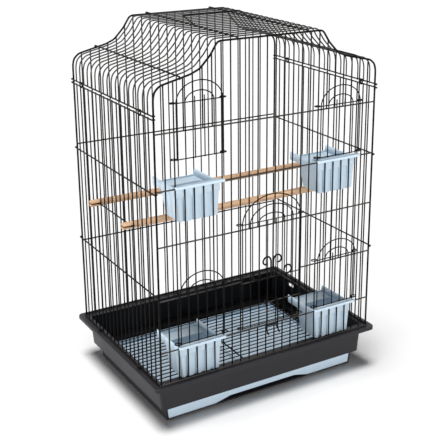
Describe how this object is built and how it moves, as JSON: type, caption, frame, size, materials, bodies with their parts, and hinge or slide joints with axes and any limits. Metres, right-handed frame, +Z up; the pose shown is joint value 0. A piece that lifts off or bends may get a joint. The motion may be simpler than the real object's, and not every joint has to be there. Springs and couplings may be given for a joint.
{
  "type": "bird cage",
  "caption": "Wire bird cage with an arched roof on a plastic base, with sliding doors, hanging feeder cups, perches, a carry handle and a slide-out tray.",
  "frame": {"origin": "on the floor, under the middle of the cage's box", "axes": "+X along the long front to the right, +Y from the front to the back, +Z up"},
  "size_m": [0.466, 0.3472, 0.6691],
  "materials": {
    "black_wire": "gloss black coating",
    "black_plastic": "satin moulded plastic",
    "pale_blue_plastic": "glossy moulded plastic",
    "wood": "bare dowel"
  },
  "bodies": {
    "cage": {"front_panel": "black_wire", "back_panel": "black_wire", "right_end_panel": "black_wire", "left_end_panel": "black_wire", "roof_panel": "black_wire", "floor_grate": "black_wire", "rail_band_left_front": "black_wire", "rail_band_left_back": "black_wire", "rail_band_right_front": "black_wire", "rail_band_right_back": "black_wire", "rim_clip_left_front": "black_plastic", "rim_clip_left_back": "black_plastic", "rim_clip_right_front": "black_plastic", "rim_clip_right_back": "black_plastic", "base_tub": "black_plastic", "feeder_cup_upper_right": "pale_blue_plastic", "feeder_cup_lower_left": "pale_blue_plastic", "feeder_cup_lower_right": "pale_blue_plastic", "perch_front": "wood", "perch_back": "wood"},
    "feeder_door_upper_left": {"feeder_door_upper_left": "black_wire"},
    "feeder_door_upper_right": {"feeder_door_upper_right": "black_wire"},
    "feeder_door_lower_left": {"feeder_door_lower_left": "black_wire"},
    "feeder_door_lower_right": {"feeder_door_lower_right": "black_wire"},
    "feeder_cup_upper_left": {"feeder_cup_upper_left": "pale_blue_plastic"},
    "main_door": {"main_door": "black_wire"},
    "main_door_latch": {"main_door_latch": "black_wire"},
    "carry_handle": {"carry_handle": "black_wire"},
    "slide_tray": {"slide_tray": "pale_blue_plastic"}
  },
  "joints": [
    {"name": "feeder_door_upper_left_slide", "type": "slide", "parent": "cage", "child": "feeder_door_upper_left", "axis": [0, 0, 1], "range_m": [-0.0395, 0.0265]},
    {"name": "feeder_door_upper_right_slide", "type": "slide", "parent": "cage", "child": "feeder_door_upper_right", "axis": [0, 0, 1], "range_m": [0, 0.066]},
    {"name": "feeder_door_lower_left_slide", "type": "slide", "parent": "cage", "child": "feeder_door_lower_left", "axis": [0, 0, 1], "range_m": [0, 0.066]},
    {"name": "feeder_door_lower_right_slide", "type": "slide", "parent": "cage", "child": "feeder_door_lower_right", "axis": [0, 0, 1], "range_m": [0, 0.066]},
    {"name": "feeder_cup_upper_left_lift", "type": "slide", "parent": "cage", "child": "feeder_cup_upper_left", "axis": [0, 0, 1], "range_m": [0, 0.036]},
    {"name": "main_door_slide", "type": "slide", "parent": "cage", "child": "main_door", "axis": [0, 0, 1], "range_m": [0, 0.078]},
    {"name": "main_door_latch_hinge", "type": "hinge", "parent": "main_door", "child": "main_door_latch", "pos_m": [-0.0012, -0.16158, 0.1917], "axis": [-1, 0, 0], "range_deg": [0, 70]},
    {"name": "carry_handle_hinge", "type": "hinge", "parent": "cage", "child": "carry_handle", "pos_m": [0, -0.00578, 0.6567], "axis": [1, 0, 0], "range_deg": [0, 152]},
    {"name": "slide_tray_slide", "type": "slide", "parent": "cage", "child": "slide_tray", "axis": [0, -1, 0], "range_m": [0, 0.2]}
  ]
}
